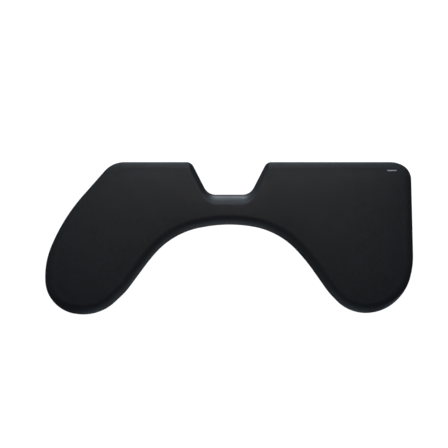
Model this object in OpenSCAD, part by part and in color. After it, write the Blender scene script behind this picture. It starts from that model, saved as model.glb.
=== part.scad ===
// Forearm support for a desk edge: a thin padded board with a cut-out for the body in front
// and a notch for a central mouse or trackball behind. Two screw clamps hold it to the desk.
// Millimetres. +X is the user's right, +Y points away from the user and +Z is up.
// z = 0 is the desk top and y = 0 is the desk's front face. x = 0 is the middle of the notch.

/* [Pad] */
// Width over both lobes. The outline keeps its proportions.
pad_w = 750; // [735:5:765]
// Height of the padded top above the desk top
pad_h = 25; // [24:0.5:28]
// Width of the rolled edge along the back
back_roll = 9; // [7:0.5:10]
// Width of the rolled edge along the front
front_roll = 21; // [16:1:22]
// Thickness of the leatherette cover
cover_t = 1; // [0.8:0.1:1.2]

/* [Base] */
// Thickness of the plywood board
board_t = 5; // [4:0.5:6]
// How far the grip strips stand proud of the underside
grip_proud = 1; // [0.8:0.1:1.4]
// How far the cover's hem reaches in under the board
hem_w = 20; // [18:1:20]

/* [Clamps] */
// Thickness of the desk top that the clamps are set to
desk_t = 25; // [15:1:45]
// Distance of each clamp from the middle
clamp_x = 236; // [230:1:240]
// Width of the bracket
bracket_w = 40; // [36:1:44]
// Sheet thickness of the bracket
bracket_t = 3; // [2.5:0.5:3]
// Diameter of the clamp screw
screw_d = 8; // [7:0.5:8]
// Diameter of the hand knob
knob_d = 40; // [34:1:44]

/* [Hidden] */
$fn = 48;

// Heights of the layers, from the desk top upwards
panel_z = grip_proud;               // underside of the bottom panel
panel_t = 1.5;
board_z = panel_z + 3.5;            // underside of the board, and of the foam's skirt
hem_z = board_z - cover_t;          // underside of the cover's hem
board_top = board_z + board_t;
side_z = 9;                         // where the side of the cover starts to roll over
heel_w = 3.7;                       // inset at which the cover's rounded lower edge starts
glue_gap = 0.3;                     // left between the cover and the foam
fit_gap = 0.05;                     // radial clearance of a screw in its hole

// Insets from the outline
board_inset = 7.3;
pocket_inset = 7;
panel_inset = 11;
rim_w = 2;
staple_inset = 16;

// ---------------------------------------------------------------- outline
// The outline's corners, counterclockwise from the back left: x, y and the radius of the arc that
// rounds the corner. Each arc runs straight into the next, so a long curve is a few wide arcs.
back_y = 108;
notch_y = 41.6;
notch_top = 77;
notch_floor = 43;
outline_w = 749.4;                  // width over both lobes at which the corners are given
corners = pad_w / outline_w * [
    [-237.5, back_y, 54],           // back left corner, cut away on a slant
    [-337, -4.6, 373],
    [-376.4, -96.3, 162],           // outer side of the left lobe
    [-371.2, -195, 71],
    [-264.5, -207.2, 94],           // tip of the left lobe
    [-210.4, -156.5, 140],
    [-162, -91.2, 384],             // inner side of the left lobe
    [-113, -35.5, 163],
    [0, -15.5, 278],                // middle of the body cut-out
    [101.5, -33, 158],
    [157, -92.7, 382],              // inner side of the right lobe
    [202.3, -157, 122],
    [248, -205, 83],                // tip of the right lobe
    [319, -195, 88],
    [362.5, -154.7, 101],
    [375.2, -100.8, 158],           // outer side of the right lobe
    [370.4, 94.4, 35],
    [338.8, back_y, 55],            // back right corner
    [notch_top, back_y, 15],
    [notch_floor, notch_y, 26],
    [-notch_floor, notch_y, 26],
    [-notch_top, back_y, 16]
];
n_corners = len(corners);
arc_step = 8;                       // degrees between the points on an arc
min_r = 1;                          // an inset never makes a corner sharper than this

function unit(v) = v / norm(v);
function turned(v, a) = [v.x * cos(a) - v.y * sin(a), v.x * sin(a) + v.y * cos(a)];
function corner_xy(i) = let (c = corners[(i + n_corners) % n_corners]) [c.x, c.y];
function heading(i) = unit(corner_xy(i + 1) - corner_xy(i));
function inward(i) = turned(heading(i), 90);
function turn(i) = let (a = heading(i - 1), b = heading(i)) atan2(a.x * b.y - a.y * b.x, a * b);
function arc_steps(i) = max(2, ceil(abs(turn(i)) / arc_step));

// The point at share t of corner i's arc, on the outline moved inwards by d
function arc_point(i, t, d) =
    let (
        before = inward(i - 1),
        after = inward(i),
        side = sign(turn(i)),       // 1 where the outline is convex, -1 where it is concave
        r = side > 0 ? max(corners[i].z - d, min_r) : corners[i].z + d,
        tip = corner_xy(i) + d * (before + after) / (1 + before * after),
        centre = tip + side * r / cos(turn(i) / 2) * unit(before + after)
    )
    centre - side * r * turned(before, turn(i) * t);

samples = [for (i = [0:n_corners - 1]) for (k = [0:arc_steps(i)]) [i, k / arc_steps(i)]];
n_samples = len(samples);
function inset(d) = [for (s = samples) arc_point(s[0], s[1], d)];

// ---------------------------------------------------------------- rings and skins
// The rolled edge is narrow along the back, where the pad meets a keyboard or mouse, and widens
// over roll_run towards the front.
roll_run = 95;
function smooth(t) = let (u = min(max(t, 0), 1)) u * u * (3 - 2 * u);
function roll_at(y) = back_roll + (front_roll - back_roll) * smooth((back_y - y) / roll_run);

// A level ring of points at inset d and height z
function ring(d, z) = [for (p = inset(d)) [p.x, p.y, z]];

// A ring on the rolled edge, at angle a from the side (0) to the top (90). The roll starts d inside
// the outline and ends at height top.
function roll_ring(d, top, a) = [
    for (s = samples)
        let (
            w = roll_at(arc_point(s[0], s[1], 0).y) - d,
            p = arc_point(s[0], s[1], d + w * (1 - cos(a)))
        )
        [p.x, p.y, side_z + (top - side_z) * sin(a)]
];
roll_angles = [0, 22.5, 45, 67.5, 90];

// The leftmost and rightmost points split the outline into a front chain and a back chain, and both
// run steadily from left to right. A flat cap is filled by triangles that step along the two.
outline = inset(0);
xs = [for (p = outline) p.x];
left_end = search(min(xs), xs)[0];
right_end = search(max(xs), xs)[0];
n_front = right_end - left_end;
n_back = n_samples - n_front;
function front(k) = (left_end + k) % n_samples;
function back(k) = (left_end - k + n_samples) % n_samples;
function cap(a = 1, b = 1, done = [[left_end, front(1), back(1)]]) =
    a + b == n_front + n_back - 1 ? done :
    b == n_back || (a < n_front && xs[front(a + 1)] <= xs[back(b + 1)])
        ? cap(a + 1, b, concat(done, [[back(b), front(a), front(a + 1)]]))
        : cap(a, b + 1, concat(done, [[back(b), front(a), back(b + 1)]]));
cap_faces = cap();

// A closed solid through a list of rings, from its innermost ring to its top one. Each quad is split
// along the diagonal that rises with k, so that nested skins bend alike.
module skin(rings) {
    last = len(rings) - 1;
    sides = [
        for (r = [0:last - 1]) for (k = [0:n_samples - 1])
            let (a = r * n_samples, b = a + n_samples, next = (k + 1) % n_samples)
            each rings[r][0].z > rings[r + 1][0].z
                ? [[a + k, b + k, a + next], [b + k, b + next, a + next]]
                : [[a + k, b + k, b + next], [a + k, b + next, a + next]]
    ];
    top = [for (f = cap_faces) [for (k = [2:-1:0]) f[k] + last * n_samples]];
    polyhedron([for (r = rings) each r], concat(sides, top, cap_faces));
}

module slab(d, z, t) translate([0, 0, z]) linear_extrude(t) polygon(inset(d));

// ---------------------------------------------------------------- pad
// The cover is one skin: over the top, down the rolled edge and in under the board as a hem.
module cover() {
    inside = [[cover_t, 2.4], [cover_t + 0.7, 0.8], [heel_w, 0], [hem_w, 0]];
    outside = [[hem_w, 0], [heel_w - 0.2, 0], [1, 1], [0, 3.2]];
    color([0.13, 0.135, 0.14])
    skin([
        for (k = [4:-1:0]) roll_ring(cover_t, pad_h - cover_t, roll_angles[k]),
        for (p = inside) ring(p[0], board_z + p[1]),
        for (p = outside) ring(p[0], hem_z + p[1]),
        for (a = roll_angles) roll_ring(0, pad_h, a)
    ]);
}

// The foam has a pocket below for the board, and a skirt that wraps the board's edge.
module foam_pad() {
    edge = cover_t + glue_gap;
    skirt = [[pocket_inset, board_t], [pocket_inset, 0], [heel_w + 0.3, 0], [edge + 0.75, 1], [edge, 2.6]];
    color([0.93, 0.86, 0.62])
    skin([
        for (p = skirt) ring(p[0], board_z + p[1]),
        for (a = roll_angles) roll_ring(edge, pad_h - cover_t - glue_gap, a)
    ]);
}

// Board screws and clamp bolts, from above
panel_screw_at = [
    [-245, 55], [-110, 55], [-75, 6], [75, 6], [110, 55], [240, 55], [338, 50], [344, -40],
    [335, -130], [285, -165], [190, -75], [-190, -75], [-270, -168], [-335, -145], [-330, -60]
];
bolt_dx = 12;
bolt_y = [-18, -48];
bracket_bolt_at = [for (x = [-bolt_dx, bolt_dx]) for (y = bolt_y) [x, y]];
all_bolt_at = [for (side = [-1, 1]) for (p = bracket_bolt_at) [side * clamp_x + p.x, p.y]];
bolt_r = 3;
nut_barrel_r = 4;
nut_flange_r = 9;
nut_flange_t = 1.2;
wood_screw_r = 1.75;

module at_all(points) for (p = points) translate([p.x, p.y, 0]) children();
module hole(r, z0, z1) translate([0, 0, z0]) cylinder(r = r, h = z1 - z0);

module carrier_board() {
    color([0.80, 0.66, 0.46])
    difference() {
        slab(board_inset, board_z, board_t);
        at_all(panel_screw_at) hole(wood_screw_r + fit_gap, board_z - 1, board_top + 1);
        at_all(all_bolt_at) {
            hole(nut_barrel_r + fit_gap, board_z - 1, board_top + 1);
            hole(nut_flange_r + 0.2, board_top - nut_flange_t, board_top + 1);
        }
    }
}

// T-nuts sit in the top of the board, under the foam.
module t_nuts() {
    barrel_z = board_z + 0.3;
    color([0.75, 0.76, 0.78])
    at_all(all_bolt_at) difference() {
        union() {
            hole(nut_barrel_r, barrel_z, board_top);
            hole(nut_flange_r, board_top - nut_flange_t, board_top);
        }
        hole(bolt_r + fit_gap, barrel_z - 1, board_top + 1);
    }
}

// Wire staples hold the hem to the board, one every staple_step along the inset outline.
staple_w = 10;
staple_leg = 5;
wire_t = 0.6;
staple_step = 38;
staple_path = inset(staple_inset);
path_len = [
    for (k = 0, s = 0; k <= n_samples;
         s = s + norm(staple_path[(k + 1) % n_samples] - staple_path[k % n_samples]), k = k + 1) s
];
n_staples = floor(path_len[n_samples] / staple_step);
along_x = [for (k = [0:n_samples]) [path_len[k], staple_path[k % n_samples].x]];
along_y = [for (k = [0:n_samples]) [path_len[k], staple_path[k % n_samples].y]];
function on_path(s) = [lookup(s, along_x), lookup(s, along_y)];

module staple() {
    wire_w = 0.9;
    translate([0, 0, hem_z]) difference() {
        translate([-staple_w / 2, -wire_w / 2, -wire_t]) cube([staple_w, wire_w, staple_leg + wire_t]);
        translate([-staple_w / 2 + wire_t, -wire_w, 0])
            cube([staple_w - 2 * wire_t, 2 * wire_w, staple_leg + 1]);
    }
}

module cover_staples() {
    color([0.72, 0.73, 0.75])
    for (k = [0:n_staples - 1]) {
        s = (k + 0.5) * path_len[n_samples] / n_staples;
        p = on_path(s);
        ahead = on_path(s + 1) - on_path(s - 1);
        translate([p.x, p.y, 0]) rotate(atan2(ahead.y, ahead.x)) staple();
    }
}

// ---------------------------------------------------------------- underside
grip_w = 16;
grip_depth = 0.6;                   // how deep the strips sit in the panel
// Strips as [x, y, length]
grip_centre = [0, 6, 90];
grip_left_front = [-205, 16, 150];
grip_left_back = [-158, 84, 120];
grip_right_front = [230, 16, 200];
grip_right_back = [215, 84, 200];
grips = [grip_centre, grip_left_front, grip_left_back, grip_right_front, grip_right_back];

module strip_shape(s, w) {
    half = s[2] / 2 - grip_w / 2;
    translate([s.x, s.y]) {
        square([2 * half, w], center = true);
        for (x = [-half, half]) translate([x, 0]) circle(d = w);
    }
}

module grip_strip(s) {
    color([0.10, 0.10, 0.105])
    linear_extrude(panel_z + grip_depth) strip_shape(s, grip_w);
}

// A moulded tray. Its rim presses the hem, and its bosses stand on the board inside the hem.
module bottom_panel() {
    boss_r = 5;
    bolt_boss_r = 7;
    head_r = 3.6;
    color([0.09, 0.09, 0.095])
    difference() {
        union() {
            difference() {
                slab(panel_inset, panel_z, hem_z - panel_z);
                slab(panel_inset + rim_w, panel_z + panel_t, hem_z);
            }
            at_all(panel_screw_at) hole(boss_r, panel_z + 0.5, board_z);
            at_all(all_bolt_at) hole(bolt_boss_r, panel_z + 0.5, board_z);
        }
        at_all(panel_screw_at) {
            hole(wood_screw_r + fit_gap, 0, board_z + 1);
            translate([0, 0, panel_z - 1]) cylinder(r1 = head_r + 1, r2 = head_r - 2, h = 3);
        }
        at_all(all_bolt_at) hole(bolt_r + 0.3, 0, board_z + 1);
        for (g = grips) linear_extrude(panel_z + grip_depth) strip_shape(g, grip_w + 0.2);
    }
}

module panel_screws() {
    head_r = 3.5;
    head_h = 1.75;
    slot_w = 0.8;
    color([0.25, 0.25, 0.26])
    at_all(panel_screw_at) difference() {
        union() {
            translate([0, 0, panel_z]) cylinder(r1 = head_r, r2 = wood_screw_r, h = head_h);
            hole(wood_screw_r, panel_z + head_h - 0.01, board_top - 0.8);
        }
        for (a = [0, 90]) rotate(a) translate([-2, -slot_w / 2, 0]) cube([4, slot_w, panel_z + 1]);
    }
}

// A small plain printed bar near the back right corner
mark_x = 330.5;
mark_y = 90.4;
mark_w = 19;
mark_h = 2.1;
module print_mark() {
    color([0.80, 0.81, 0.82])
    translate([mark_x, mark_y, pad_h]) linear_extrude(0.15) {
        square([mark_w - mark_h, mark_h], center = true);
        for (x = [-1, 1]) translate([x * (mark_w - mark_h) / 2, 0]) circle(d = mark_h);
    }
}

// ---------------------------------------------------------------- clamps
// Each clamp is drawn about x = 0. Its foot presses up against the desk's underside.
liner_t = 1.5;
spine_y = -liner_t;                 // back of the bracket's spine
bend_r = 3;
flange_top = panel_z;
flange_y = -62;
throat = 56;                        // from the desk top down to the lower leg
leg_z = -throat - bracket_t;
leg_y = 40;                         // axis of the clamp screw
leg_r = bracket_w / 2;
flange_r = 6;
nut_h = 6.5;
nut_across = 13;
foot_r = 16;
foot_pad_t = 2;
foot_plate_t = 3.5;
foot_top = -desk_t;
plate_top = foot_top - foot_pad_t;
plate_z = plate_top - foot_plate_t;
seat_r = 4.6;                       // counterbore in the foot plate for the screw's rivet head
seat_depth = 1.6;
pin_r = 2.6;
knob_h = 16;
knob_top = foot_top - 57;

module bend(a) rotate(a) intersection() {
    difference() {
        circle(bend_r + bracket_t);
        circle(bend_r);
    }
    square(bend_r + bracket_t);
}

// Side view of the bracket, drawn in y and z: a top flange forwards, a spine down and a leg back
module bracket_side() {
    spine_front = spine_y - bracket_t;
    bend_out = bend_r + bracket_t;
    translate([flange_y, flange_top - bracket_t]) square([spine_y - bend_out - flange_y, bracket_t]);
    translate([spine_y - bend_out, flange_top - bend_out]) bend(0);
    translate([spine_front, leg_z + bend_out]) square([bracket_t, flange_top - leg_z - 2 * bend_out]);
    translate([spine_front + bend_out, leg_z + bend_out]) bend(180);
    translate([spine_front + bend_out, leg_z]) square([leg_y + leg_r - spine_front - bend_out, bracket_t]);
}

// Plan view of the bracket, with a rounded leg and rounded flange corners
module bracket_plan() {
    translate([-leg_r, flange_y + flange_r]) square([bracket_w, leg_y - flange_y - flange_r]);
    translate([-leg_r + flange_r, flange_y]) square([bracket_w - 2 * flange_r, flange_r]);
    for (x = [-1, 1]) translate([x * (leg_r - flange_r), flange_y + flange_r]) circle(flange_r);
    translate([0, leg_y]) circle(leg_r);
}

module bracket() {
    color([0.16, 0.16, 0.17])
    difference() {
        intersection() {
            translate([-leg_r, 0, 0]) rotate([90, 0, 90]) linear_extrude(bracket_w) bracket_side();
            translate([0, 0, leg_z - 1]) linear_extrude(flange_top - leg_z + 2) bracket_plan();
        }
        at_all(bracket_bolt_at) hole(bolt_r + 0.3, flange_top - bracket_t - 1, flange_top + 1);
        translate([0, leg_y, 0]) hole(screw_d / 2 + 0.5, leg_z - 1, leg_z + bracket_t + 1);
    }
}

// Button-head screws with a hexagon socket
module bracket_bolts() {
    head_r = 5.5;
    head_h = 3.3;
    under = flange_top - bracket_t;
    color([0.20, 0.20, 0.21])
    at_all(bracket_bolt_at) difference() {
        union() {
            translate([0, 0, under - head_h]) cylinder(r1 = head_r - 2, r2 = head_r, h = head_h - 0.8);
            hole(head_r, under - 0.8, under);
            hole(bolt_r, under - 0.01, board_top - 0.5);
        }
        translate([0, 0, under - head_h - 1]) cylinder(r = 2.3, h = 3, $fn = 6);
    }
}

module edge_liner() {
    color([0.07, 0.07, 0.075])
    translate([-17, spine_y, -46]) cube([34, liner_t, 40]);
}

module clamp_nut() {
    color([0.70, 0.71, 0.73])
    translate([0, leg_y, leg_z - nut_h]) difference() {
        cylinder(r = nut_across / 2 / cos(30), h = nut_h, $fn = 6);
        translate([0, 0, -1]) cylinder(r = screw_d / 2 + fit_gap, h = nut_h + 2);
    }
}

// The screw's pin passes through the foot plate and is riveted over in the counterbore.
module clamp_screw() {
    color([0.74, 0.75, 0.77])
    translate([0, leg_y, 0]) {
        hole(screw_d / 2, knob_top - 10, plate_z - 0.1);
        hole(pin_r, plate_z - 0.2, plate_top - seat_depth + 0.2);
        hole(seat_r - 0.6, plate_top - seat_depth + 0.1, plate_top - 0.2);
    }
}

module knob() {
    hub_r = 10;
    hub_h = 4;
    lobes = 6;
    color([0.08, 0.08, 0.085])
    translate([0, leg_y, 0]) difference() {
        union() {
            hole(knob_d / 2, knob_top - hub_h - knob_h, knob_top - hub_h);
            hole(hub_r, knob_top - hub_h - 1, knob_top);
        }
        hole(screw_d / 2 + 0.02, knob_top - 10, knob_top + 1);
        for (k = [0:lobes - 1]) rotate(k * 360 / lobes) translate([knob_d / 2 + 3, 0, 0])
            hole(7, knob_top - hub_h - knob_h - 1, knob_top + 1);
    }
}

module foot_plate() {
    color([0.72, 0.73, 0.75])
    translate([0, leg_y, 0]) difference() {
        hole(foot_r, plate_z, plate_top);
        hole(pin_r + 0.1, plate_z - 1, plate_top + 1);
        hole(seat_r, plate_top - seat_depth, plate_top + 1);
    }
}

module foot_pad() {
    color([0.09, 0.09, 0.09])
    translate([0, leg_y, 0]) hole(foot_r, plate_top, foot_top);
}

module left() translate([-clamp_x, 0, 0]) children();
module right() translate([clamp_x, 0, 0]) children();

cover();
foam_pad();
carrier_board();
cover_staples();
t_nuts();
bottom_panel();
panel_screws();
print_mark();
grip_strip(grip_centre);  // grip_strip_centre
grip_strip(grip_left_front);  // grip_strip_left_front
grip_strip(grip_left_back);  // grip_strip_left_back
grip_strip(grip_right_front);  // grip_strip_right_front
grip_strip(grip_right_back);  // grip_strip_right_back
left() bracket();  // left_bracket
left() bracket_bolts();  // left_bracket_bolts
left() edge_liner();  // left_edge_liner
left() clamp_nut();  // left_clamp_nut
left() clamp_screw();  // left_clamp_screw
left() knob();  // left_knob
left() foot_plate();  // left_foot_plate
left() foot_pad();  // left_foot_pad
right() bracket();  // right_bracket
right() bracket_bolts();  // right_bracket_bolts
right() edge_liner();  // right_edge_liner
right() clamp_nut();  // right_clamp_nut
right() clamp_screw();  // right_clamp_screw
right() knob();  // right_knob
right() foot_plate();  // right_foot_plate
right() foot_pad();  // right_foot_pad
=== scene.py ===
"""A desk forearm support: a padded board in matte black leatherette, with two screw clamps below.

Metres, in the CAD part's frame: +X the user's right, +Y across the desk, +Z up, z = 0 the desk top.
"""

import math

import bmesh
import bpy
import numpy as np
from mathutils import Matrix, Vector
from mathutils.bvhtree import BVHTree
from mathutils.geometry import convex_hull_2d, delaunay_2d_cdt


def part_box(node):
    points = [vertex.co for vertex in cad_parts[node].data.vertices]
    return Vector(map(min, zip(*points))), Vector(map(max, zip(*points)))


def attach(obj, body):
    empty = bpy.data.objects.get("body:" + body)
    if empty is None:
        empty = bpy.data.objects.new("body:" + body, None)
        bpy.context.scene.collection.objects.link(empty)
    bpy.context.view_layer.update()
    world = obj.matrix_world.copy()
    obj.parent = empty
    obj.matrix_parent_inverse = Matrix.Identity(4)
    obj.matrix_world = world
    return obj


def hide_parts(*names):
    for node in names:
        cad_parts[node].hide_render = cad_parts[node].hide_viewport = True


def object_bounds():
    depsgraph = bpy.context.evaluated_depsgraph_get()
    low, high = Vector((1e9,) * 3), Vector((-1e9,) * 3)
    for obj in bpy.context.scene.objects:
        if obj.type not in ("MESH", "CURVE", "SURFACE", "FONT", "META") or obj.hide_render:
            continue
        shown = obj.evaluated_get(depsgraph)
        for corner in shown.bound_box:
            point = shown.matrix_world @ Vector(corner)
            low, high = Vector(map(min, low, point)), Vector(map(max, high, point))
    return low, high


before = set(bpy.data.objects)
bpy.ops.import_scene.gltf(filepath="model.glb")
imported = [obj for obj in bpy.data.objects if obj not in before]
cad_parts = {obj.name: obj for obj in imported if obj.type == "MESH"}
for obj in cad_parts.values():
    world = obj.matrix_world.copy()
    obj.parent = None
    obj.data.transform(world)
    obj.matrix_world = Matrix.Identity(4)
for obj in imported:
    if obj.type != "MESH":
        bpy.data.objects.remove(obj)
cad_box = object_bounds()

MM = 0.001
PITCH = 1.25 * MM                             # the M8 screw's
WELD, SAME = 0.001 * MM, 0.002 * MM           # corners this close are one, heights this close the same


# ---------------------------------------------------------------- meshes
def corners(mesh):
    """A mesh's corners, as an array."""
    co = np.empty(len(mesh.vertices) * 3)
    mesh.vertices.foreach_get("co", co)
    return co.reshape(-1, 3)


def cad_verts(node):
    """A CAD node's corners, as an array."""
    return corners(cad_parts[node].data)


def add_mesh(name, verts, faces):
    """A new smooth-shaded mesh object."""
    mesh = bpy.data.meshes.new(name)
    mesh.from_pydata([tuple(v) for v in verts], [], [tuple(f) for f in faces])
    mesh.update()
    obj = bpy.data.objects.new(name, mesh)
    bpy.context.scene.collection.objects.link(obj)
    mesh.polygons.foreach_set("use_smooth", [True] * len(mesh.polygons))
    return obj


def smooth_by_angle(obj, degrees):
    """Shades flat only across edges sharper than the angle."""
    mesh = obj.data
    bm = bmesh.new()
    bm.from_mesh(mesh)
    limit = math.radians(degrees)
    for edge in bm.edges:
        edge.smooth = len(edge.link_faces) == 2 and edge.calc_face_angle(0) < limit
    for face in bm.faces:
        face.smooth = True
    bm.to_mesh(mesh)
    bm.free()


def place(obj, material, body, node):
    """Gives a piece its material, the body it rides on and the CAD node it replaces."""
    obj.data.materials.clear()
    obj.data.materials.append(material)
    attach(obj, body)
    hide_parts(node)


# ---------------------------------------------------------------- outline
def levels(node):
    """The heights at which the CAD node has corners across its full width, the lowest first."""
    co = cad_verts(node)
    full = np.ptp(co[:, 0]) - 0.01 * MM
    heights = np.unique(np.round(co[:, 2], 6))
    return [z for z in heights if np.ptp(co[np.abs(co[:, 2] - z) < SAME][:, 0]) > full]


def rim_chain(node, z):
    """The edge that a CAD node's level ring or flat face has at a height, in counterclockwise order."""
    bm = bmesh.new()
    bm.from_mesh(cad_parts[node].data)
    bmesh.ops.remove_doubles(bm, verts=bm.verts, dist=WELD)
    on = {v for v in bm.verts if abs(v.co.z - z) < SAME}
    ahead = {}
    for edge in bm.edges:
        a, b = edge.verts
        if a in on and b in on and any(v not in on for f in edge.link_faces for v in f.verts):
            ahead.setdefault(a, []).append(b)
            ahead.setdefault(b, []).append(a)
    start = min(ahead, key=lambda v: v.co.x)
    chain, last, here = [], None, start
    while last is None or here is not start:
        chain.append([here.co.x, here.co.y])
        last, here = here, next(v for v in ahead[here] if v is not last)
    bm.free()
    ring = np.array(chain)
    nxt = np.roll(ring, -1, 0)
    counterclockwise = (ring[:, 0] * nxt[:, 1] - nxt[:, 0] * ring[:, 1]).sum() > 0
    return ring if counterclockwise else ring[::-1]


def half_turns(ring):
    """Each chord's heading, length and half turn, where every chord spans an arc or a straight stretch
    and each stretch runs smoothly into the next. Neighbouring half turns add up to the turn between
    their chords. That leaves one number free: the median of what an even split at each corner gives."""
    chord = np.roll(ring, -1, 0) - ring
    length = np.hypot(*chord.T)
    phi = np.arctan2(chord[:, 1], chord[:, 0])
    turn = (phi - np.roll(phi, 1) + math.pi) % (2 * math.pi) - math.pi
    guess = -turn * length / (length + np.roll(length, 1))
    part = np.zeros(len(ring))
    for i in range(1, len(ring)):
        part[i] = -turn[i] - part[i - 1]
    sign = np.where(np.arange(len(ring)) % 2, -1, 1)
    free = np.median(sign * (guess - part))
    return phi, length, -(part + sign * free)


def smoothed(values, width):
    """A closed run of values, averaged over a window."""
    kernel = np.hanning(width + 2)
    n = len(values)
    return np.convolve(np.tile(values, 3), kernel / kernel.sum(), "same")[n:2 * n]


def dense(ring, step):
    """Points every step along a closed chain of straights."""
    out = []
    for a, b in zip(ring, np.roll(ring, -1, 0)):
        n = max(1, int(np.hypot(*(b - a)) / step))
        out.append(a + (b - a) * (np.arange(n) / n)[:, None])
    return np.vstack(out)


def nearest(points, targets, batch=500):
    """Distance from each point to the nearest target."""
    out = [
        np.hypot(*(points[k:k + batch, None] - targets[None]).transpose(2, 0, 1)).min(1)
        for k in range(0, len(points), batch)
    ]
    return np.concatenate(out)


class Outline:
    """The pad's outline as points about every step, closer in bends, with normals and curvature."""
    fine, even = 0.4 * MM, 60                 # spacing of the first points, and how many even the curvature

    def __init__(self, ring, step, bend_gain):
        phi, length, half = half_turns(ring)
        xy, heading, bend = [], [], []
        for p, a, s, h in zip(ring, phi, length, half):
            n = max(1, round(s / self.fine))
            for t in np.arange(n) / n:
                reach = s * (math.sin(h * t) / math.sin(h) if abs(h) > 1e-6 else t)
                xy.append(p + reach * np.array([math.cos(a - h + h * t), math.sin(a - h + h * t)]))
                heading.append(a - h + 2 * h * t)
                bend.append(2 * math.sin(h) / s)
        xy, heading, bend = np.array(xy), np.unwrap(heading), np.array(bend)
        gap = np.hypot(*(np.roll(xy, -1, 0) - xy).T)
        run = np.concatenate([[0], np.cumsum(gap * (1 + bend_gain * np.abs(bend)))])
        self.n = int(round(run[-1] / step))
        at = np.arange(self.n) / self.n * run[-1]
        closed = np.vstack([xy, xy[:1]])
        self.xy = np.column_stack([np.interp(at, run, closed[:, k]) for k in (0, 1)])
        angle = np.interp(at, run, np.append(heading, heading[0] + 2 * math.pi))
        self.normal = np.column_stack([np.sin(angle), -np.cos(angle)])
        self.bend = np.interp(at, run, np.append(smoothed(bend, self.even), bend[0]))
        gap = np.hypot(*(np.roll(self.xy, -1, 0) - self.xy).T)
        self.run = np.cumsum(gap) - gap

    def inset(self, d):
        """The outline moved inwards by d, one number or one for each point."""
        return self.xy - self.normal * np.reshape(d, (-1, 1))


def stack(rings):
    """Corners and quads of a tube through (xy, z) rings. z is one number, or one for each point."""
    n = len(rings[0][0])
    verts = np.vstack([np.column_stack([xy, np.broadcast_to(z, n)]) for xy, z in rings])
    faces = [
        (r * n + k, r * n + (k + 1) % n, (r + 1) * n + (k + 1) % n, (r + 1) * n + k)
        for r in range(len(rings) - 1) for k in range(n)
    ]
    return verts, faces


# ---------------------------------------------------------------- materials
class Look:
    """A node material under construction. Patterns are laid in the object's own metres."""

    def __init__(self, name, color, rough, metal=0.0, spec=0.5, **sockets):
        self.mat = bpy.data.materials.new(name)
        self.mat.use_nodes = True
        self.nodes = self.mat.node_tree.nodes
        self.links = self.mat.node_tree.links
        self.shader = self.nodes["Principled BSDF"]
        self.color = color
        sockets.update({"Base Color": (*color, 1), "Roughness": rough, "Metallic": metal,
                        "Specular IOR Level": spec})
        for key, value in sockets.items():
            self.shader.inputs[key].default_value = value
        self.mat.diffuse_color = (*color, 1)
        self.where = self.add("ShaderNodeTexCoord").outputs["Object"]

    def add(self, kind, **inputs):
        """A new node with its inputs set. A name's underscore stands for a space."""
        node = self.nodes.new(kind)
        for key, value in inputs.items():
            node.inputs[key.replace("_", " ")].default_value = value
        return node

    def join(self, out, into):
        """Feeds one node's output into another's input."""
        self.links.new(out, into)

    def noise(self, size, detail, stretch=None):
        """Cloudy noise with features of that size in metres, drawn out along an axis by stretch."""
        tex = self.add("ShaderNodeTexNoise", Scale=1 / size, Detail=detail)
        where = self.where
        if stretch:
            mapping = self.add("ShaderNodeMapping", Scale=tuple(1 / s for s in stretch))
            self.join(where, mapping.inputs["Vector"])
            where = mapping.outputs["Vector"]
        self.join(where, tex.inputs["Vector"])
        return tex.outputs["Fac"]

    def cells(self, size, smooth=0.0):
        """Cells of that size in metres, with rounded borders where smooth is above 0."""
        tex = self.add("ShaderNodeTexVoronoi", Scale=1 / size)
        if smooth:
            tex.feature = "SMOOTH_F1"
            tex.inputs["Smoothness"].default_value = smooth
        self.join(self.where, tex.inputs["Vector"])
        return tex.outputs["Distance"]

    def remap(self, value, lo, hi, out_lo, out_hi):
        """A value's range from lo to hi, stretched to out_lo to out_hi."""
        node = self.nodes.new("ShaderNodeMapRange")
        self.join(value, node.inputs["Value"])
        for key, v in zip(("From Min", "From Max", "To Min", "To Max"), (lo, hi, out_lo, out_hi)):
            node.inputs[key].default_value = v
        return node.outputs["Result"]

    def mixed(self, factor, a, b):
        """A colour between a and b. Either may be a colour or another node's output."""
        node = self.nodes.new("ShaderNodeMix")
        node.data_type = "RGBA"
        self.join(factor, node.inputs["Factor"])
        for key, v in ((6, a), (7, b)):
            if isinstance(v, tuple):
                node.inputs[key].default_value = (*v, 1)
            else:
                self.join(v, node.inputs[key])
        return node.outputs[2]

    def tint(self, value, lo, hi, dark, light):
        """Base colour from dark to light times the plain colour as a pattern runs from lo to hi."""
        shade = [tuple(c * k for c in self.color) for k in (dark, light)]
        out = self.mixed(self.remap(value, lo, hi, 0, 1), *shade)
        self.join(out, self.shader.inputs["Base Color"])
        return out

    def worn(self, under, edge_color, lo=0.52, hi=0.62, most=0.6):
        """Sharp edges rub through to edge_color."""
        edge = self.nodes.new("ShaderNodeNewGeometry").outputs["Pointiness"]
        out = self.mixed(self.remap(edge, lo, hi, 0, most), under, edge_color)
        self.join(out, self.shader.inputs["Base Color"])

    def gloss(self, value, lo, hi, rough_lo, rough_hi):
        """Roughness from rough_lo to rough_hi as a pattern runs from lo to hi."""
        self.join(self.remap(value, lo, hi, rough_lo, rough_hi), self.shader.inputs["Roughness"])

    def bump(self, *layers):
        """Layers of (pattern, height in metres, strength), the coarsest first."""
        normal = None
        for value, height, strength in layers:
            node = self.add("ShaderNodeBump", Strength=strength, Distance=height)
            self.join(value, node.inputs["Height"])
            if normal:
                self.join(normal, node.inputs["Normal"])
            normal = node.outputs["Normal"]
        self.join(normal, self.shader.inputs["Normal"])
        return self.mat


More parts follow.
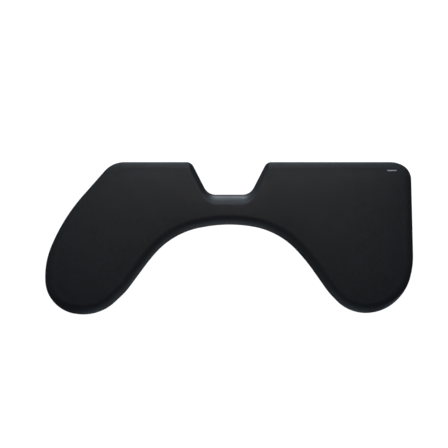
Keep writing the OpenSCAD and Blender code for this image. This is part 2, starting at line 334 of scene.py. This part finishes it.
def leatherette():
    """Matt black coated fabric with a fine pebbled grain."""
    look = Look("leatherette_black", (0.0050, 0.0054, 0.0059), 0.50, spec=0.46)
    look.tint(look.noise(60 * MM, 4), 0.3, 0.7, 0.9, 1.1)
    look.gloss(look.noise(25 * MM, 5), 0.3, 0.7, 0.47, 0.53)
    pebbles = look.cells(1.2 * MM, 0.35)
    return look.bump((pebbles, 0.22 * MM, 0.6), (look.noise(0.35 * MM, 4), 0.04 * MM, 0.4))


def foam():
    """Open-celled cream foam."""
    look = Look("foam_cream", (0.72, 0.62, 0.36), 0.9, spec=0.2)
    look.tint(look.noise(12 * MM, 4), 0.3, 0.7, 0.85, 1.1)
    return look.bump((look.cells(1.6 * MM), 0.4 * MM, 0.6))


def plywood():
    """Birch plywood: long grain on the faces, and the plies as thin bands on the edges."""
    look = Look("plywood_birch", (0.55, 0.38, 0.21), 0.6)
    grain = look.noise(7 * MM, 6, (9, 1, 1))
    plies = look.noise(1.3 * MM, 1, (60, 60, 1))
    shade = look.tint(grain, 0.3, 0.7, 0.78, 1.12)
    banded = look.mixed(look.remap(plies, 0.45, 0.55, 0, 0.5), shade, (0.30, 0.18, 0.09))
    look.join(banded, look.shader.inputs["Base Color"])
    look.gloss(grain, 0.3, 0.7, 0.5, 0.72)
    return look.bump((grain, 0.15 * MM, 0.5), (look.noise(0.6 * MM, 3), 0.05 * MM, 0.4))


def moulded_plastic(name, color, rough, grain, depth):
    """Moulded plastic with a fine spark-eroded grain and slightly polished edges."""
    look = Look(name, color, rough)
    shade = look.tint(look.noise(35 * MM, 4), 0.3, 0.7, 0.85, 1.15)
    look.worn(shade, tuple(3 * c for c in color))
    look.gloss(look.noise(14 * MM, 5), 0.3, 0.7, rough - 0.06, rough + 0.06)
    return look.bump((look.cells(grain), depth, 0.5), (look.noise(grain / 3, 3), depth / 3, 0.4))


def rubber(name, color):
    """Dull rubber with a light bloom."""
    look = Look(name, color, 0.82, spec=0.3)
    look.tint(look.noise(9 * MM, 5), 0.35, 0.7, 0.8, 1.5)
    look.gloss(look.noise(6 * MM, 4), 0.3, 0.7, 0.72, 0.92)
    return look.bump((look.noise(0.8 * MM, 4), 0.08 * MM, 0.5))


def zinc(name, rough, stretch=None):
    """Bright zinc plating with darker patches and fine scuffs, drawn out along an axis by stretch."""
    look = Look(name, (0.60, 0.61, 0.62), rough, metal=1.0)
    patches = look.noise(8 * MM, 5)
    shade = look.tint(patches, 0.3, 0.7, 0.72, 1.08)
    look.worn(shade, (0.80, 0.80, 0.79))
    scuffs = look.noise(0.5 * MM, 4, stretch)
    look.gloss(scuffs, 0.3, 0.7, rough - 0.08, rough + 0.12)
    return look.bump((scuffs, 0.02 * MM, 0.4))


def black_paint(name, color, rough, orange_peel):
    """Black finish on steel, rubbed through to bare metal on the sharpest edges."""
    look = Look(name, color, rough)
    shade = look.tint(look.noise(20 * MM, 4), 0.3, 0.7, 0.85, 1.2)
    look.worn(shade, (0.22, 0.22, 0.23), 0.56, 0.68, 0.5)
    look.gloss(look.noise(5 * MM, 4), 0.3, 0.7, rough - 0.07, rough + 0.08)
    return look.bump((look.noise(orange_peel, 3), 0.06 * MM, 0.5))


def pale_print():
    """Pale ink on the grain of the cover: thin in the pits."""
    look = Look("print_pale_grey", (0.52, 0.53, 0.55), 0.6)
    look.tint(look.noise(0.5 * MM, 4), 0.35, 0.65, 0.72, 1.08)
    return look.bump((look.cells(1.1 * MM, 0.6), 0.06 * MM, 0.4))


# ---------------------------------------------------------------- pad
# unevenness of the foam's top: height in mm, radians a metre along x and y, and start
RIPPLES = (0.06, 38, 17, 0.4), (0.05, -23, 61, 2.1), (0.03, 84, -49, 4.0)


class Pad:
    """The pad's surfaces. Its outline, heights and rolled edge are read from the CAD cover."""
    hem = 12.5 * MM                           # the modelled hem ends here, above the panel's rim
    steep_w = 2.6 * MM                        # width in plan of the outer roll's steep side
    side_shoulder = 17 * MM, 2.1 * MM         # width and height of the outer roll's shoulder at a side
    back_shoulder = 13 * MM, 1.2 * MM         # and at the back
    flatness = 1.15                           # 1 for an elliptical roll, more for a flatter one
    wall_roll, floor_roll = 13 * MM, 22 * MM  # the roll on the notch's walls and at its floor's middle
    pressure, most = 5.0, 1.8 * MM            # the foam's push on the skin, and the most it may swell

    def __init__(self):
        co = cad_verts("cover")
        self.under, self.top = co[:, 2].min(), co[:, 2].max()
        self.heel, self.side = levels("cover")[:2]
        self.line = Outline(rim_chain("cover", self.heel), 4 * MM, 60 * MM)
        xy = self.line.xy
        hull = xy[convex_hull_2d([Vector(p) for p in xy])]
        off_hull = nearest(xy, dense(hull, 1 * MM))
        self.roll = self.round_roll(off_hull)
        self.shoulder = self.shoulders()
        self.outer = self.outer_share(off_hull)
        self.skin = self.swell()
        self.surface = BVHTree.FromPolygons([Vector(v) for v in self.skin[0]], self.skin[1])

    def round_roll(self, off_hull):
        """Width in plan of the nearly elliptical roll: the CAD cover's, except in the notch. The notch's
        points face back and lie inside the hull, and its floor's face straight back and lie deeper."""
        facing = self.line.normal[:, 1]
        roll = smoothed(nearest(self.line.xy, dense(rim_chain("cover", self.top), 1 * MM)), 15)
        notch = smoothed((facing > 0.3) * (off_hull > 20 * MM) * 1.0, 11)
        floor = smoothed(np.clip((facing - 0.8) / 0.2, 0, 1) * (off_hull > 40 * MM), 25)
        return roll + notch * (self.wall_roll + floor * (self.floor_roll - self.wall_roll) - roll)

    def shoulders(self):
        """Width and height of the outer roll's shoulder, from the sides' to the back's."""
        back = np.clip(self.line.normal[:, 1], 0, 1)[:, None] ** 2
        mixed = np.array(self.side_shoulder) * (1 - back) + np.array(self.back_shoulder) * back
        return np.column_stack([smoothed(column, 11) for column in mixed.T])

    def outer_share(self, off_hull):
        """The outer roll's share: 1 on the sides and the back, 0 at the front and in the notch, and less
        where a bend leaves too little room for it."""
        on_hull = np.clip(1 - off_hull / (6 * MM), 0, 1)
        off_front = np.clip((self.line.normal[:, 1] + 0.95) / 0.45, 0, 1)
        room = 0.8 / np.maximum(self.line.bend, 1)
        room = smoothed(np.min([np.roll(room, k) for k in range(-4, 5)], 0), 9)
        fits = np.clip(room / (self.steep_w + self.shoulder[:, 0]), 0, 1)
        return smoothed(on_hull * off_front * fits, 11)

    def ring(self, a):
        """The ring at angle a round the rolled edge, from 0 at its side to a quarter turn on top. The
        roll is nearly elliptical at the front and in the notch, and steep with a shallow shoulder on
        the outer sides."""
        tall = self.top - self.side
        steep_end, slope_end = math.radians(60), math.radians(85.5)
        b = min(a / steep_end, 1) * slope_end
        width, height = self.shoulder.T
        x, z = self.steep_w * (1 - math.cos(b)), (tall - height) * math.sin(b)
        if a > steep_end:
            u = (a - steep_end) / (math.pi / 2 - steep_end)
            x, z = x + width * u, tall - (tall - z) * (1 - u) ** 2
        k = self.outer
        round_x = self.roll * (1 - max(0, math.cos(a)) ** self.flatness)
        round_z = tall * math.sin(a) ** self.flatness
        return self.line.inset((1 - k) * round_x + k * x), self.side + (1 - k) * round_z + k * z

    def swell(self):
        """Corners and triangles of the top inside the roll, swollen by the cloth simulation."""
        rim, _ = self.ring(math.pi / 2)
        grid, tris = fill(rim, 5 * MM, 3 * MM)
        ripple = sum(
            k * np.sin(grid[:, 0] * along_x + grid[:, 1] * along_y + start)
            for k, along_x, along_y, start in RIPPLES
        )
        flat_rim = 30 * MM
        rise = (1 - np.exp(-((nearest(grid, dense(rim, 1 * MM)) / flat_rim) ** 2))) * ripple * MM
        height = self.top + np.append(np.zeros(len(rim)), rise)
        verts = np.column_stack([np.vstack([rim, grid]), height])
        verts = swollen(verts, tris, len(rim), self.pressure, self.most)
        return verts, tris

    def height(self, xy):
        """Height of the swollen top at points."""
        hits = [self.surface.ray_cast(Vector((*p, 1)), Vector((0, 0, -1)))[0] for p in xy]
        return np.array([hit.z if hit else self.top for hit in hits])


def fill(rim, spacing, keep_off):
    """Triangles over the level region inside a ring, with a regular grid of points between."""
    lo, hi = rim.min(0), rim.max(0)
    rows = np.arange(lo[1], hi[1], spacing * 0.866)        # for equal-sided triangles
    grid = np.array([
        (x, y) for k, y in enumerate(rows)
        for x in np.arange(lo[0] + (k % 2) * spacing / 2, hi[0], spacing)
    ])
    grid = grid[inside(grid, rim)]
    grid = grid[nearest(grid, rim) > keep_off]
    n = len(rim)
    points = [Vector(p) for p in np.vstack([rim, grid])]
    edges = [(k, (k + 1) % n) for k in range(n)]
    only_inside, epsilon = 1, 1e-7
    made = delaunay_2d_cdt(points, edges, [], only_inside, epsilon)
    if len(made[0]) != len(points):
        raise RuntimeError("the fill moved or merged points")
    return grid, made[2]


def inside(points, ring):
    """Which points lie inside a closed ring."""
    x, y = points[:, 0], points[:, 1]
    within = np.zeros(len(points), bool)
    for (ax, ay), (bx, by) in zip(ring, np.roll(ring, -1, 0)):
        if ay != by:
            within ^= ((ay > y) != (by > y)) & (x < (bx - ax) * (y - ay) / (by - ay) + ax)
    return within


def swollen(verts, faces, held, pressure, most, frames=20, passes=12):
    """Corners of a level skin after a cloth simulation with pressure below it. Its first corners are
    held. The rise is evened out over the neighbours, and none ends above most."""
    obj = add_mesh("swelling_skin", verts, faces)
    obj.vertex_groups.new(name="held").add(list(range(held)), 1.0, "REPLACE")
    cloth = obj.modifiers.new("cloth", "CLOTH")
    cloth.point_cache.frame_start, cloth.point_cache.frame_end = 1, frames
    tune = cloth.settings
    tune.vertex_group_mass = "held"
    tune.quality, tune.mass, tune.air_damping = 6, 0.15, 1.0
    tune.tension_stiffness = tune.compression_stiffness = 60
    tune.shear_stiffness, tune.bending_stiffness = 12, 2.0
    tune.use_pressure, tune.uniform_pressure_force = True, pressure
    tune.effector_weights.gravity = 0
    for step in range(1, frames + 1):
        bpy.context.scene.frame_set(step)
    shaped = obj.evaluated_get(bpy.context.evaluated_depsgraph_get())
    rise = (corners(shaped.data) - verts)[:, 2]
    ends = np.array([e.vertices[:] for e in obj.data.edges])
    bpy.context.scene.frame_set(1)
    bpy.data.objects.remove(obj)
    count = np.bincount(ends.ravel(), minlength=len(verts))
    for _ in range(passes):
        near = np.bincount(ends.ravel(), rise[ends[:, ::-1]].ravel(), len(verts)) / count
        rise[held:] = (0.5 * (rise + near))[held:]
    return verts + np.column_stack([np.zeros((len(verts), 2)), most * np.tanh(rise / most)])


def make_cover(pad, material):
    """One skin over the top, down the rolled edge, round the heel and in below as a gathered hem."""
    line = pad.line
    reach = pad.heel - pad.under
    skin, lap = 0.9 * MM, 0.3 * MM
    pleat_height, pleat_step, sway = 0.55 * MM, 13 * MM, 55 * MM
    gentle, fade = 160 * MM, 90 * MM              # no gathers on a bend of more than this radius
    gathers = smoothed(np.clip((line.bend - 1 / gentle) * fade, 0, 1), 9)
    pleat = 1 - np.abs(np.sin(line.run / pleat_step * math.pi + 0.7 * np.sin(line.run / sway)))
    rings = []
    for d in np.linspace(pad.hem, reach + lap, 6):
        deep = (d - reach) / (pad.hem - reach)
        rings.append((line.inset(d), pad.under - pleat_height * deep ** 0.8 * gathers * pleat ** 2))
    for b in np.radians([-80, -60, -40, -20, 0]):
        rings.append((line.inset(reach * (1 - math.cos(b))), pad.heel + reach * math.sin(b)))
    for a in np.radians([0, 8, 16, 24, 32, 40, 46, 52, 56, 60, 65, 70, 75, 80, 85, 90]):
        rings.append(pad.ring(a))
    verts, faces = stack(rings)
    base = len(verts) - line.n
    verts = np.vstack([verts[:base], pad.skin[0]])
    faces += [tuple(base + k for k in f) for f in pad.skin[1]]
    obj = add_mesh("pad_cover", verts, faces)
    thick = obj.modifiers.new("thickness", "SOLIDIFY")
    thick.thickness, thick.offset = skin, -1               # it grows inwards
    place(obj, material, "support", "cover")


def make_foam(pad, material):
    """The foam block: crowned top, rolled edge, a skirt round the board and a flat pocket above it."""
    line, inside_by, gap, corner = pad.line, 1.3 * MM, 0.4 * MM, 1.8 * MM
    board_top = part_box("carrier_board")[1].z
    ceiling, skirt = board_top + gap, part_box("foam_pad")[0].z + gap
    board_edge = dense(rim_chain("carrier_board", board_top), 1 * MM)
    pocket = line.inset(nearest(line.xy, board_edge) - gap)
    rings = [(pocket, ceiling), (pocket, skirt)]
    for b in np.radians([-70, -35, 0]):
        inset = inside_by + corner * (1 - math.cos(b))
        rings.append((line.inset(inset), skirt + corner * (1 + math.sin(b))))
    for a in np.radians([0, 12, 24, 36, 48, 60, 72, 82, 90]):
        xy, z = pad.ring(a)
        rings.append((xy - line.normal * inside_by * math.cos(a), z - inside_by * math.sin(a)))
    verts, faces = stack(rings)
    n = line.n
    crown = len(verts) - n, lambda xy: pad.height(xy) - inside_by, 1
    pocket_ceiling = 0, lambda xy: np.full(len(xy), ceiling), -1
    for first, height, flip in (crown, pocket_ceiling):
        grid, tris = fill(verts[first:first + n, :2], 14 * MM, 5 * MM)
        index = np.concatenate([first + np.arange(n), len(verts) + np.arange(len(grid))])
        verts = np.vstack([verts, np.column_stack([grid, height(grid)])])
        faces += [tuple(int(index[k]) for k in f)[::flip] for f in tris]
    obj = add_mesh("foam_block", verts, faces)
    place(obj, material, "support", "foam_pad")


def make_print(pad, material):
    """The bar printed on the cover's top, laid on the crowned surface."""
    lo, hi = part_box("print_mark")
    ring = dense(rim_chain("print_mark", hi.z), 0.5 * MM)
    middle, half = (lo.y + hi.y) / 2, (hi.y - lo.y) / 2
    spine = np.column_stack([np.clip(ring[:, 0], lo.x + half, hi.x - half), np.full(len(ring), middle)])
    section = (1.0, -0.10), (1.0, 0.06), (0.96, 0.10), (0.5, 0.10), (0.02, 0.10)   # half width's share, lift
    rings = []
    for share, lift in section:
        xy = spine + (ring - spine) * share
        rings.append((xy, pad.height(xy) + lift * MM))
    verts, faces = stack(rings)
    n = len(ring)
    faces.append(tuple(range(len(verts) - n, len(verts))))
    faces.append(tuple(range(n))[::-1])
    obj = add_mesh("printed_bar", verts, faces)
    smooth_by_angle(obj, 40)
    place(obj, material, "support", "print_mark")


# ---------------------------------------------------------------- hardware
def machined(name, node, width, material, body):
    """A CAD node's shape with its sharp edges broken by a small round. It replaces the node."""
    flat, crease = math.radians(0.6), math.radians(32)
    bm = bmesh.new()
    bm.from_mesh(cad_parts[node].data)
    bmesh.ops.remove_doubles(bm, verts=bm.verts, dist=WELD)
    bmesh.ops.dissolve_limit(bm, angle_limit=flat, verts=bm.verts, edges=bm.edges)
    sharp = [e for e in bm.edges if len(e.link_faces) == 2 and e.calc_face_angle(0) > crease]
    bmesh.ops.bevel(bm, geom=sharp, offset=width, offset_type="OFFSET", segments=2, profile=0.6,
                    affect="EDGES", clamp_overlap=True)
    mesh = bpy.data.meshes.new(name)
    bm.to_mesh(mesh)
    bm.free()
    obj = bpy.data.objects.new(name, mesh)
    bpy.context.scene.collection.objects.link(obj)
    smooth_by_angle(obj, 30)
    flatter = obj.modifiers.new("flat_faces", "WEIGHTED_NORMAL")
    flatter.keep_sharp = True
    place(obj, material, body, node)


def closed_stack(rings):
    """A tube through rings with both ends filled."""
    verts, faces = stack(rings)
    n = len(rings[0][0])
    return verts, faces + [tuple(range(n - 1, -1, -1)), tuple(range(len(verts) - n, len(verts)))]


def turned(profile, centre, sides, shape=None):
    """A closed form turned about a vertical axis. The profile is (radius, z) from the bottom up, and
    shape(angle, radius, z) may scale the radius."""
    angle = np.arange(sides) / sides * 2 * math.pi
    around = np.column_stack([np.cos(angle), np.sin(angle)])
    rings = []
    for r, z in profile:
        scale = np.ones(sides) if shape is None else shape(angle, r, z)
        rings.append((around * (r * scale)[:, None] + centre, z))
    return closed_stack(rings)


def joined(name, *forms):
    """One object out of several closed forms."""
    verts, faces = [], []
    for more_verts, more_faces in forms:
        faces += [tuple(k + len(verts) for k in face) for face in more_faces]
        verts += list(more_verts)
    obj = add_mesh(name, verts, faces)
    smooth_by_angle(obj, 35)
    return obj


def rounded(r_in, r_out, z_low, z_high, r, steps=4):
    """Profile from (r_in, z_low) out to r_out and back in at z_high, both outer corners rounded."""
    turns = np.linspace(0, math.pi / 2, steps + 1)
    low = [(r_out - r + r * math.sin(t), z_low + r - r * math.cos(t)) for t in turns]
    high = [(r_out - r + r * math.cos(t), z_high - r + r * math.sin(t)) for t in turns]
    return [(r_in, z_low)] + low + high + [(r_in, z_high)]


def axis_of(node):
    """The middle of a CAD node in plan, and its box."""
    lo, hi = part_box(node)
    return np.array([(lo.x + hi.x) / 2, (lo.y + hi.y) / 2]), lo, hi


def steps_of(node):
    """The heights at which a turned CAD node has corners, with the least and greatest radius there."""
    centre = axis_of(node)[0]
    co = cad_verts(node)
    radius = np.hypot(*(co[:, :2] - centre).T)
    out = []
    for z in np.unique(np.round(co[:, 2], 5)):
        here = radius[np.abs(co[:, 2] - z) < 0.01 * MM]
        out.append((z, here.min(), here.max()))
    return out


def make_spindle(side, material):
    """An M8 thread with trapezoid crests, and a turned pin that is riveted over in the foot plate."""
    node = f"{side}_clamp_screw"
    centre = axis_of(node)[0]
    (start, _, crest), (shoulder, pin, _), (seat, _, _), (end, _, head) = steps_of(node)
    depth, per_turn, neck = 0.61 * PITCH, 8, 3 * MM        # the thread's, its rings, and the plain end

    def helix(angle, r, z):
        phase = (z / PITCH - angle / (2 * math.pi)) % 1
        tooth = np.clip(np.abs(phase - 0.5) * 4 - 0.5, 0, 1)
        fade = min(1, max(0, (shoulder - neck - z) / PITCH))
        return 1 - depth * (fade * tooth + (1 - fade)) / crest

    count = int((shoulder - start) / PITCH * per_turn)
    thread = [(crest, z) for z in np.linspace(start, shoulder, count)]
    shaft = turned(thread, centre, 28, helix)
    dome = (0.9, 0), (1, 0.2), (0.98, 0.55), (0.8, 0.85), (0.4, 1)     # shares of radius and height
    bulge = [(head * out, seat + (end - seat) * up) for out, up in dome]
    rivet = turned([(pin, shoulder - 0.3 * MM), (pin, seat)] + bulge, centre, 32)
    obj = joined(f"{side}_threaded_spindle", shaft, rivet)
    place(obj, material, f"{side}_spindle", node)


def make_knob(side, material):
    """A scalloped hand knob: rounded lobes, a hub above, and a recess with a raised centre below."""
    node = f"{side}_knob"
    centre, lo, hi = axis_of(node)
    heights = steps_of(node)
    body_top, hub = heights[-2][0], heights[-1][2]
    radius, waist = (hi.y - lo.y) / 2, heights[0][1]
    lobes, dip = 6, (radius - waist) / radius

    def lobed(angle, r, z):
        near = (0.5 + 0.5 * np.cos(lobes * angle)) ** 2.2
        return 1 - dip * near * min(1, max(0, (r / radius - 0.45) / 0.35))

    edge, soft, bore = 2.4 * MM, 0.7 * MM, 4.3 * MM
    recess, rim = 1.6 * MM, 0.58 * radius
    body = [(rim - 1.2 * MM, lo.z + recess), (rim - 0.6 * MM, lo.z + 0.4 * MM), (rim + 0.2 * MM, lo.z)]
    body += rounded(rim + 1 * MM, radius, lo.z, body_top, edge, 6)
    body += [(hub + 0.6 * MM, body_top), (hub, body_top + 0.6 * MM)]
    hub_edge = rounded(0, hub, body_top, hi.z, soft)[-6:-1]    # its upper corner only
    body += hub_edge + [(bore + 0.3 * MM, hi.z), (bore, hi.z - 0.5 * MM)]
    knob = turned(body, centre, 180, lobed)
    raised = rounded(0.4 * MM, 0.34 * radius, lo.z + 0.5 * MM, lo.z + 2.4 * MM, soft)
    obj = joined(f"{side}_star_knob", knob, turned(raised, centre, 60))
    place(obj, material, f"{side}_spindle", node)


def make_foot_pad(side, material):
    """A rubber disc with a rounded rim and concentric grooves in its upper face."""
    node = f"{side}_foot_pad"
    centre, lo, hi = axis_of(node)
    radius = (hi.x - lo.x) / 2
    core, soft, spacing = 0.5 * MM, 0.5 * MM, 3 * MM
    mouth, floor, depth = 0.7 * MM, 0.5 * MM, 0.5 * MM     # a groove's half widths and its depth
    profile = rounded(core, radius, lo.z, hi.z, soft)[:-1]
    for groove in np.arange(radius - spacing, spacing, -spacing):
        profile += [(groove + mouth, hi.z), (groove + floor, hi.z - depth),
                    (groove - floor, hi.z - depth), (groove - mouth, hi.z)]
    obj = joined(f"{side}_foot_cushion", turned(profile + [(core, hi.z)], centre, 72))
    place(obj, material, f"{side}_foot", node)


def make_liner(side, material):
    """A rubber liner with upright ribs towards the desk's edge."""
    node = f"{side}_edge_liner"
    lo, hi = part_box(node)
    ribs, depth, gap, soft = 11, 0.5 * MM, 0.35, 0.25 * MM             # gap is a share of the pitch
    pitch = (hi.x - lo.x) / ribs
    rib = (0, hi.y), (1 - gap, hi.y), (1 - 0.8 * gap, hi.y - depth), (1 - 0.2 * gap, hi.y - depth)
    front = []
    for k in range(ribs):
        left = hi.x - k * pitch
        front += [(left - share * pitch, y) for share, y in rib]
    front[0] = (hi.x - soft, hi.y)
    back = [(lo.x + 0.2 * MM, hi.y - depth), (lo.x, hi.y - 2 * depth), (lo.x, lo.y), (hi.x, lo.y)]
    outline = np.array(back + [(hi.x, hi.y - soft)] + front)
    middle = axis_of(node)[0]
    small = middle + (outline - middle) * (1 - 2 * soft / (hi.x - lo.x), 0.75)
    rings = [(small, lo.z), (outline, lo.z + soft), (outline, hi.z - soft), (small, hi.z)]
    obj = joined(f"{side}_ribbed_liner", closed_stack(rings))
    place(obj, material, "support", node)


def make_strip(node, material):
    """A stadium-shaped grip strip with a rounded edge and grooves that follow its outline below."""
    lo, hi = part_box(node)
    half = (hi.y - lo.y) / 2
    middle = (lo.y + hi.y) / 2
    arc = np.radians(np.linspace(-90, 90, 19))
    right = np.column_stack([np.cos(arc), np.sin(arc)])
    ends = [(hi.x - half, 1), (lo.x + half, -1)]
    rings = []

    def ring(r, z):
        rings.append((np.vstack([right * (s * r) + (x, middle) for x, s in ends]), z))

    glued_edge, soft, land, core = 0.2 * MM, 0.5 * MM, 1.3 * MM, 0.3 * MM
    spacing, mouth, floor, depth = 2 * MM, 0.35 * MM, 0.2 * MM, 0.45 * MM      # the grooves'
    ring(half - glued_edge, hi.z)
    ring(half, hi.z - glued_edge)
    ring(half, lo.z + soft)
    ring(half - 0.3 * soft, lo.z + 0.3 * soft)
    ring(half - soft, lo.z)
    for r in np.arange(half - land, core + 0.5 * MM, -spacing):
        ring(r + mouth, lo.z)
        ring(r + floor, lo.z + depth)
        ring(r - floor, lo.z + depth)
        ring(r - mouth, lo.z)
    ring(core, lo.z)
    verts, faces = closed_stack(rings)
    obj = joined(node.replace("grip_strip", "grooved_grip"), (verts, [f[::-1] for f in faces]))
    place(obj, material, "support", node)


def finish_node(node, material):
    """A better material on a CAD node that keeps its own shape."""
    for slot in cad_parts[node].material_slots:
        slot.material = material


def make_fixed_parts(plastic, screw, ply, wire, plate, grip):
    """Everything below the cover that stays put with the pad."""
    machined("underside_tray", "bottom_panel", 0.4 * MM, plastic, "support")
    machined("tray_screws", "panel_screws", 0.15 * MM, screw, "support")
    finish_node("carrier_board", ply)
    finish_node("cover_staples", wire)
    finish_node("t_nuts", plate)
    for node in sorted(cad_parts):
        if node.startswith("grip_strip"):
            make_strip(node, grip)


def make_clamp(side, paint, screw, plate, thread, knob, grip):
    """One desk clamp: the bracket and its bolts stay put, and the spindle and the foot move."""
    machined(f"{side}_clamp_bracket", f"{side}_bracket", 0.4 * MM, paint, "support")
    machined(f"{side}_clamp_bolts", f"{side}_bracket_bolts", 0.2 * MM, screw, "support")
    machined(f"{side}_weld_nut", f"{side}_clamp_nut", 0.35 * MM, plate, "support")
    machined(f"{side}_swivel_plate", f"{side}_foot_plate", 0.4 * MM, plate, f"{side}_foot")
    make_spindle(side, thread)
    make_knob(side, knob)
    make_foot_pad(side, grip)
    make_liner(side, grip)


# ---------------------------------------------------------------- stage
# soft boxes: azimuth and elevation in degrees, distance and size in metres, watts, and colour
LIGHTS = {
    "key_overhead": (180, 65, 0.9, 0.5, 0.65, (1, 0.5, 0.42)),
    "key_high_back": (180, 60, 1.3, 0.8, 4.95, (1, 1, 0.96)),
    "key_back": (180, 45, 1.3, 0.8, 3.1, (0, 0.56, 1)),
    "rim_low_back": (180, 5, 2.2, 0.6, 46.4, (0.82, 0.9, 1)),
    "rim_back_left": (202, 5, 2.2, 0.6, 4.4, (0.81, 0.96, 1)),
    "rim_left_back": (225, 10, 2.2, 0.8, 3.3, (0.62, 0.85, 1)),
    "fill_front": (0, 12, 2.2, 0.8, 3, (0.47, 0.78, 1)),
    "fill_cut_out": (0, 6, 0.42, 0.25, 0.11, (0.86, 0.87, 1)),
    "low_front": (0, -25, 2.2, 0.8, 3.1, (0.99, 1, 0.93)),
    "low_right_front": (45, -12, 2.2, 0.8, 3.8, (0.72, 0.89, 1)),
    "low_left": (270, -12, 2.2, 0.8, 6.7, (0.78, 1, 0.97)),
}


def area_light(name, azimuth, elevation, distance, size, power, color):
    """A square soft box aimed at the origin. It isn't seen itself."""
    t, u = math.radians(azimuth), math.radians(elevation)
    at = distance * Vector((math.sin(t) * math.cos(u), -math.cos(t) * math.cos(u), math.sin(u)))
    data = bpy.data.lights.new(name, "AREA")
    data.shape, data.size = "SQUARE", size
    data.energy, data.color = power, color
    obj = bpy.data.objects.new(name, data)
    obj.location = at
    obj.rotation_euler = (Vector() - at).to_track_quat("-Z", "Y").to_euler()
    obj.visible_camera = False
    bpy.context.scene.collection.objects.link(obj)


def make_world(color, strength):
    """A dim, even, bluish glow from everywhere."""
    world = bpy.data.worlds.new("studio")
    world.use_nodes = True
    glow = world.node_tree.nodes["Background"].inputs
    glow["Color"].default_value = (*color, 1)
    glow["Strength"].default_value = strength
    bpy.context.scene.world = world


def make_backdrop(level, half, sides=48):
    """A white floor under a white dome. They are seen, and take no part in the object's light."""
    glow = {"Emission Color": (1, 1, 1, 1), "Emission Strength": 0.98}
    white = Look("stage_white", (0.2, 0.2, 0.2), 0.9, **glow).mat
    square = [(-half, -half, level), (half, -half, level), (half, half, level), (-half, half, level)]
    floor = add_mesh("floor", square, [(0, 1, 2, 3)])
    angle = np.arange(sides) / sides * 2 * math.pi
    ring = 0.999 * half * np.column_stack([np.cos(angle), np.sin(angle)])
    rise = np.radians([0, 15, 30, 45, 60, 75, 89])
    rings = [(ring * math.cos(e), level + half * math.sin(e)) for e in rise]
    dome = add_mesh("backdrop", *stack(rings))
    for obj in (floor, dome):
        obj.data.materials.append(white)
        obj.visible_diffuse = obj.visible_glossy = obj.visible_shadow = False


def make_stage():
    """White surroundings, and soft boxes whose strengths are matched to the shading on the pad."""
    bpy.context.scene.view_settings.view_transform = "Standard"
    make_world((0.76, 0.78, 1), 0.118)
    drop = 30 * MM                            # keeps the floor clear of the knobs at their lowest
    make_backdrop(cad_box[0].z - drop, half=12)
    for name, settings in LIGHTS.items():
        area_light(name, *settings)


def make_camera(level):
    """Straight down on a level, far enough away to be nearly orthographic."""
    aim_x, aim_y, width = -10.35 * MM, -18.3 * MM, 914.3 * MM          # the view's, on that level
    data = bpy.data.cameras.new("camera")
    data.sensor_width, data.lens = 36, 118
    cam = bpy.data.objects.new("camera", data)
    cam.location = (aim_x, aim_y, level + width / data.sensor_width * data.lens)
    bpy.context.scene.collection.objects.link(cam)
    bpy.context.scene.camera = cam


# ---------------------------------------------------------------- the object
pad = Pad()
make_camera(pad.side)
make_stage()
make_cover(pad, leatherette())
make_foam(pad, foam())
make_print(pad, pale_print())
black_steel = black_paint("screw_black", (0.03, 0.03, 0.032), 0.42, 0.9 * MM)
zinc_sheet = zinc("zinc_plate", 0.34)
rubber_black = rubber("rubber_black", (0.020, 0.020, 0.021))
make_fixed_parts(
    moulded_plastic("panel_plastic", (0.020, 0.020, 0.022), 0.55, 0.7 * MM, 0.08 * MM), black_steel,
    plywood(), zinc("staple_wire", 0.42), zinc_sheet, rubber_black,
)
bracket_black = black_paint("bracket_powder_coat", (0.025, 0.025, 0.027), 0.5, 1.4 * MM)
knob_black = moulded_plastic("knob_plastic", (0.016, 0.016, 0.017), 0.40, 0.5 * MM, 0.03 * MM)
zinc_turned = zinc("zinc_thread", 0.30, (1, 1, 0.2))
for side in ("left", "right"):
    make_clamp(side, bracket_black, black_steel, zinc_sheet, zinc_turned, knob_black, rubber_black)
